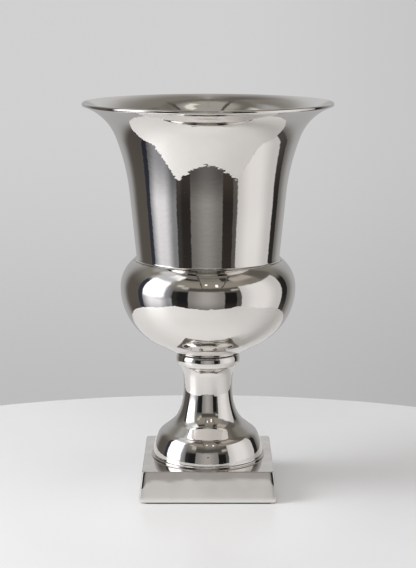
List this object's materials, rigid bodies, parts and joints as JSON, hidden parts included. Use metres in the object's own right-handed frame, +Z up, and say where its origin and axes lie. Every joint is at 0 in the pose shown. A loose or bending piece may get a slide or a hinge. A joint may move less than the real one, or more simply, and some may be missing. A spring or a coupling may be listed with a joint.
{
  "type": "decorative urn",
  "caption": "Polished cast urn: a flared bell on a round bowl, over a collar, a waisted pedestal and a square plinth, all clamped by one tie rod.",
  "frame": {"origin": "middle of the square base, on the surface that the felt pads rest on", "axes": "+Z up along the urn's axis; the plinth's sides face X and Y, and -Y is the front"},
  "size_m": [0.2552, 0.255, 0.4016],
  "materials": {
    "polished_casting": "mirror polished, nickel toned, with fine polishing lines and slight casting ripple",
    "brushed_casting": "satin polished, nickel toned",
    "plated_steel": "zinc plated",
    "seal_rubber": "matt black",
    "felt": "pressed dark felt"
  },
  "bodies": {
    "root": {"bell": "polished_casting", "bowl": "polished_casting", "collar": "polished_casting", "pedestal": "polished_casting", "plinth": "brushed_casting", "tie_rod": "plated_steel", "cap_nut": "plated_steel", "cap_washer": "plated_steel", "anchor_plate": "plated_steel", "lock_washer": "plated_steel", "bottom_nut": "plated_steel", "neck_seal": "seal_rubber", "bowl_gasket": "seal_rubber", "rod_seal": "seal_rubber", "felt_pad_front_left": "felt", "felt_pad_front_right": "felt", "felt_pad_rear_left": "felt", "felt_pad_rear_right": "felt"}
  },
  "joints": []
}
